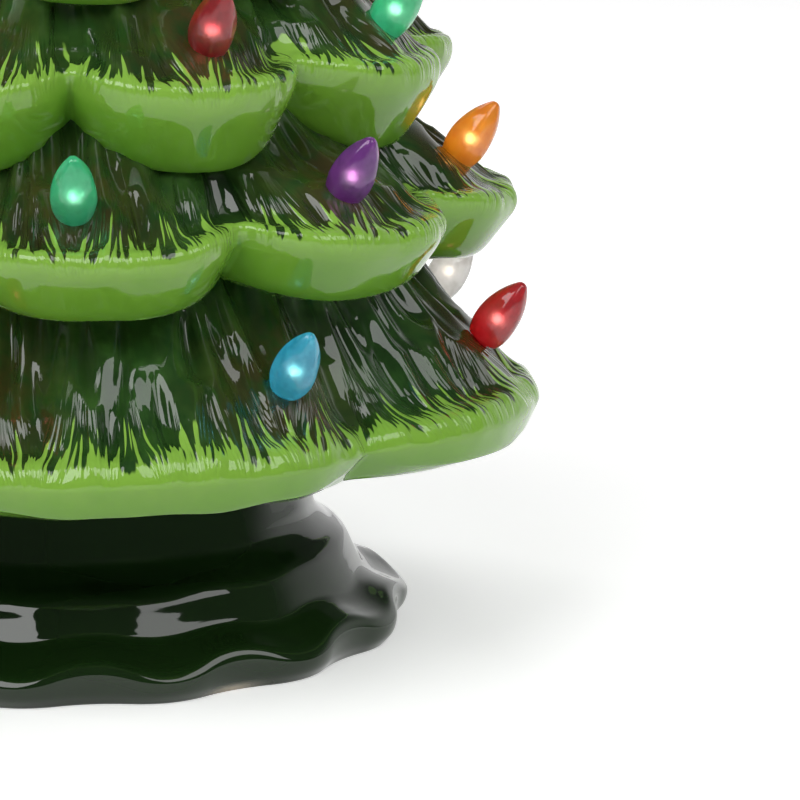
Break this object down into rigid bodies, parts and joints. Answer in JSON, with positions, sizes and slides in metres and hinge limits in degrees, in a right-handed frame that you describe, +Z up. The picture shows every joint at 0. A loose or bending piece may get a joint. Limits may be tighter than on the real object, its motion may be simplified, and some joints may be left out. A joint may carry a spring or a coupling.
{
  "type": "ceramic christmas tree",
  "caption": "Lit ceramic Christmas tree: hollow glazed tiers set with coloured peg bulbs and a star, lifting off a fluted base with a lamp and battery tray.",
  "frame": {"origin": "on the tree's axis at the level its base stands on", "axes": "+Z up along the tree's axis, -Y the pictured front, +X to the right"},
  "size_m": [0.2484, 0.2546, 0.373],
  "materials": {
    "green_glaze": "glossy",
    "dark_glaze": "glossy",
    "red_bulb": "clear",
    "green_bulb": "clear",
    "blue_bulb": "clear",
    "purple_bulb": "clear",
    "amber_bulb": "clear",
    "clear_bulb": "clear",
    "star_plastic": "clear",
    "white_plastic": "satin",
    "board": "satin",
    "emitter": "clear",
    "black_plastic": "matte",
    "cell_wrap": "satin",
    "plated_steel": "bright",
    "lead_jacket": "matte"
  },
  "bodies": {
    "base": {"base_shell": "dark_glaze", "lamp_holder": "white_plastic", "led_board": "board", "led_emitters": "emitter", "board_screws": "plated_steel", "diffuser_dome": "white_plastic", "battery_tray": "black_plastic", "battery_cells": "cell_wrap", "contact_plates": "plated_steel", "contact_springs": "plated_steel", "switch_body": "black_plastic", "switch_screws": "plated_steel", "lead_wires": "lead_jacket"},
    "tree": {"tree_shell": "green_glaze", "bulbs_red": "red_bulb", "bulbs_green": "green_bulb", "bulbs_blue": "blue_bulb", "bulbs_purple": "purple_bulb", "bulbs_amber": "amber_bulb", "bulbs_clear": "clear_bulb"},
    "star": {"star_topper": "star_plastic"},
    "door": {"battery_door": "black_plastic"},
    "knob": {"switch_knob": "black_plastic"}
  },
  "joints": [
    {"name": "tree_lift", "type": "slide", "parent": "base", "child": "tree", "axis": [0, 0, 1], "range_m": [0, 0.06]},
    {"name": "star_pull", "type": "slide", "parent": "tree", "child": "star", "axis": [0, 0, 1], "range_m": [0, 0.03]},
    {"name": "switch_slide", "type": "slide", "parent": "base", "child": "knob", "axis": [0, -1, 0], "range_m": [0, 0.005]},
    {"name": "battery_door", "type": "hinge", "parent": "base", "child": "door", "pos_m": [0, -0.0277, 0.0052], "axis": [-1, 0, 0], "range_deg": [0, 95]}
  ]
}
